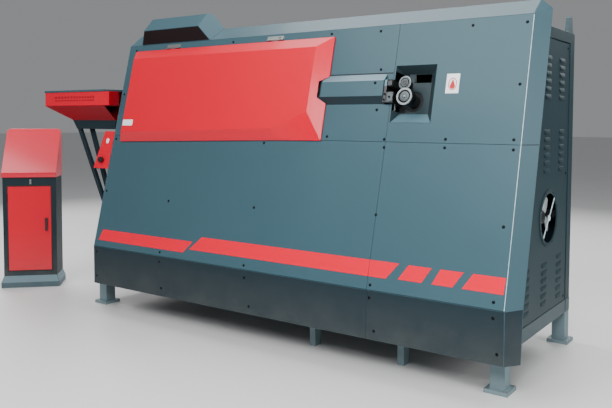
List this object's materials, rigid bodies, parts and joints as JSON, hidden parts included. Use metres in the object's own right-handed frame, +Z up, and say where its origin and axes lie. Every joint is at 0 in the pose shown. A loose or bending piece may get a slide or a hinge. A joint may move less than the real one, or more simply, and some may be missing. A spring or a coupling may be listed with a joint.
{
  "type": "automatic rebar stirrup bending machine",
  "caption": "Floor-standing automatic rebar bender with a leaning front cover, lift-up feed door, bending head in a recess, wire inlet trough and a separate console.",
  "frame": {"origin": "on the floor, under the centre of the whole object's bounding box, console included", "axes": "+X along the machine from the bar inlet to the bending head, +Y from the operator's side to the back, +Z up"},
  "size_m": [4.4012, 1.2796, 2.082],
  "materials": {
    "body_paint": "satin blue-grey enamel",
    "dark_paint": "satin dark grey enamel",
    "frame_paint": "satin dark blue-grey enamel",
    "red_paint": "gloss red enamel",
    "machined_steel": "turned and ground steel",
    "hard_steel": "blackened tool steel",
    "bright_fittings": "polished",
    "motor_casing": "painted casting",
    "black_plastic": "matt black",
    "button_red": "gloss",
    "drive_casing": "matt light grey",
    "fan_metal": "cast"
  },
  "bodies": {
    "machine": {"base_frame": "frame_paint", "cross_members": "frame_paint", "feet": "frame_paint", "upper_frame": "frame_paint", "frame_brackets": "frame_paint", "lifting_hooks": "frame_paint", "upper_left_panel": "body_paint", "upper_right_panel": "body_paint", "lower_panels": "body_paint", "top_cover": "body_paint", "right_end_cover": "body_paint", "left_end_cover": "body_paint", "drive_hood": "dark_paint", "right_side_panel": "dark_paint", "outer_panels": "dark_paint", "fan_guard": "bright_fittings", "fan_motor": "motor_casing", "door_hinges": "bright_fittings", "tunnel_cover": "red_paint", "window_box": "body_paint", "cutter_block": "machined_steel", "head_housing": "motor_casing", "feed_plate": "machined_steel", "wheel_axles": "machined_steel", "bar_guides": "hard_steel", "straightener_screws": "machined_steel", "feed_drive": "motor_casing", "tray_cap": "body_paint", "tray_box": "red_paint", "tray_supports": "frame_paint", "inlet_guide": "machined_steel", "stop_plate": "red_paint", "console_plinth": "body_paint", "console_cabinet": "body_paint", "console_hardware": "bright_fittings", "console_panel": "drive_casing", "console_drives": "drive_casing"},
    "feed_door": {"feed_door": "red_paint", "door_knuckles": "bright_fittings"},
    "head_carriage": {"head_quill": "machined_steel", "mandrel": "machined_steel"},
    "bend_arm": {"bend_arm": "hard_steel"},
    "bend_roller": {"bend_roller": "machined_steel"},
    "cutter_blade": {"cutter_blade": "hard_steel"},
    "straightening_roller_1": {"straightening_roller_1": "hard_steel"},
    "straightening_roller_2": {"straightening_roller_2": "hard_steel"},
    "straightening_roller_3": {"straightening_roller_3": "hard_steel"},
    "straightening_roller_4": {"straightening_roller_4": "hard_steel"},
    "straightening_roller_5": {"straightening_roller_5": "hard_steel"},
    "measuring_wheel": {"measuring_wheel": "machined_steel"},
    "feed_wheel_1": {"feed_wheel_1": "hard_steel"},
    "feed_wheel_2": {"feed_wheel_2": "hard_steel"},
    "feed_wheel_3": {"feed_wheel_3": "hard_steel"},
    "feed_wheel_4": {"feed_wheel_4": "hard_steel"},
    "fan_rotor": {"fan_rotor": "fan_metal"},
    "stop_knob": {"stop_knob": "black_plastic"},
    "stop_button": {"stop_button": "button_red"},
    "console_door": {"console_door": "red_paint"},
    "console_handle": {"console_handle": "black_plastic"},
    "console_lid": {"console_lid": "red_paint"}
  },
  "joints": [
    {"name": "feed_door_hinge", "type": "hinge", "parent": "machine", "child": "feed_door", "pos_m": [0.08058, -0.27647, 1.85099], "axis": [-1, 0, 0], "range_deg": [0, 95]},
    {"name": "head_slide", "type": "slide", "parent": "machine", "child": "head_carriage", "axis": [0, -0.9716, 0.2365], "range_m": [-0.026, 0]},
    {"name": "bend_arm_turn", "type": "hinge", "parent": "head_carriage", "child": "bend_arm", "pos_m": [1.48958, -0.36213, 1.46942], "axis": [0, -0.9716, 0.2365], "range_deg": [-150, 0]},
    {"name": "bend_roller_spin", "type": "hinge", "parent": "bend_arm", "child": "bend_roller", "pos_m": [1.47758, -0.35316, 1.54855], "axis": [0, -0.9716, 0.2365], "continuous": true},
    {"name": "cutter_slide", "type": "slide", "parent": "machine", "child": "cutter_blade", "axis": [0, 0.2365, 0.9716], "range_m": [-0.014, 0]},
    {"name": "straightening_roller_1_spin", "type": "hinge", "parent": "machine", "child": "straightening_roller_1", "pos_m": [-0.63942, -0.37147, 1.49022], "axis": [0, -0.9716, 0.2365], "continuous": true},
    {"name": "straightening_roller_2_spin", "type": "hinge", "parent": "machine", "child": "straightening_roller_2", "pos_m": [-0.44942, -0.37147, 1.49022], "axis": [0, -0.9716, 0.2365], "continuous": true},
    {"name": "straightening_roller_3_spin", "type": "hinge", "parent": "machine", "child": "straightening_roller_3", "pos_m": [-0.25942, -0.37147, 1.49022], "axis": [0, -0.9716, 0.2365], "continuous": true},
    {"name": "straightening_roller_4_spin", "type": "hinge", "parent": "machine", "child": "straightening_roller_4", "pos_m": [-0.54442, -0.35433, 1.56067], "axis": [0, -0.9716, 0.2365], "continuous": true},
    {"name": "straightening_roller_5_spin", "type": "hinge", "parent": "machine", "child": "straightening_roller_5", "pos_m": [-0.35442, -0.35433, 1.56067], "axis": [0, -0.9716, 0.2365], "continuous": true},
    {"name": "measuring_wheel_spin", "type": "hinge", "parent": "machine", "child": "measuring_wheel", "pos_m": [0.68058, -0.37431, 1.47856], "axis": [0, -0.9716, 0.2365], "continuous": true},
    {"name": "feed_wheel_1_spin", "type": "hinge", "parent": "machine", "child": "feed_wheel_1", "pos_m": [0.19058, -0.3814, 1.44941], "axis": [0, -0.9716, 0.2365], "continuous": true},
    {"name": "feed_wheel_2_spin", "type": "hinge", "parent": "machine", "child": "feed_wheel_2", "pos_m": [0.19058, -0.34452, 1.60099], "axis": [0, -0.9716, 0.2365], "continuous": true},
    {"name": "feed_wheel_3_spin", "type": "hinge", "parent": "machine", "child": "feed_wheel_3", "pos_m": [0.43058, -0.3814, 1.44941], "axis": [0, -0.9716, 0.2365], "continuous": true},
    {"name": "feed_wheel_4_spin", "type": "hinge", "parent": "machine", "child": "feed_wheel_4", "pos_m": [0.43058, -0.34452, 1.60099], "axis": [0, -0.9716, 0.2365], "continuous": true},
    {"name": "fan_spin", "type": "hinge", "parent": "machine", "child": "fan_rotor", "pos_m": [2.05058, 0.18925, 0.806], "axis": [1, 0, 0], "continuous": true},
    {"name": "stop_knob_push", "type": "slide", "parent": "machine", "child": "stop_knob", "axis": [0, -0.9716, 0.2365], "range_m": [-0.006, 0], "stiffness_N_per_m": 800},
    {"name": "stop_button_push", "type": "slide", "parent": "machine", "child": "stop_button", "axis": [0.5256, -0.5256, 0.669], "range_m": [-0.004, 0], "stiffness_N_per_m": 900},
    {"name": "console_door_hinge", "type": "hinge", "parent": "machine", "child": "console_door", "pos_m": [-1.97784, -0.59379, 0.47], "axis": [0, 0, -1], "range_deg": [0, 110]},
    {"name": "console_handle_turn", "type": "hinge", "parent": "console_door", "child": "console_handle", "pos_m": [-1.76642, -0.38802, 0.505], "axis": [-0.7071, 0.7071, 0], "range_deg": [0, 90]},
    {"name": "console_lid_hinge", "type": "hinge", "parent": "machine", "child": "console_lid", "pos_m": [-2.04219, -0.29185, 0.88], "axis": [-0.7071, -0.7071, 0], "range_deg": [0, 80]}
  ],
  "couplings": [
    {"joint": "feed_wheel_2_spin", "follows": "feed_wheel_1_spin", "ratio": -1},
    {"joint": "feed_wheel_3_spin", "follows": "feed_wheel_1_spin", "ratio": 1},
    {"joint": "feed_wheel_4_spin", "follows": "feed_wheel_1_spin", "ratio": -1}
  ]
}
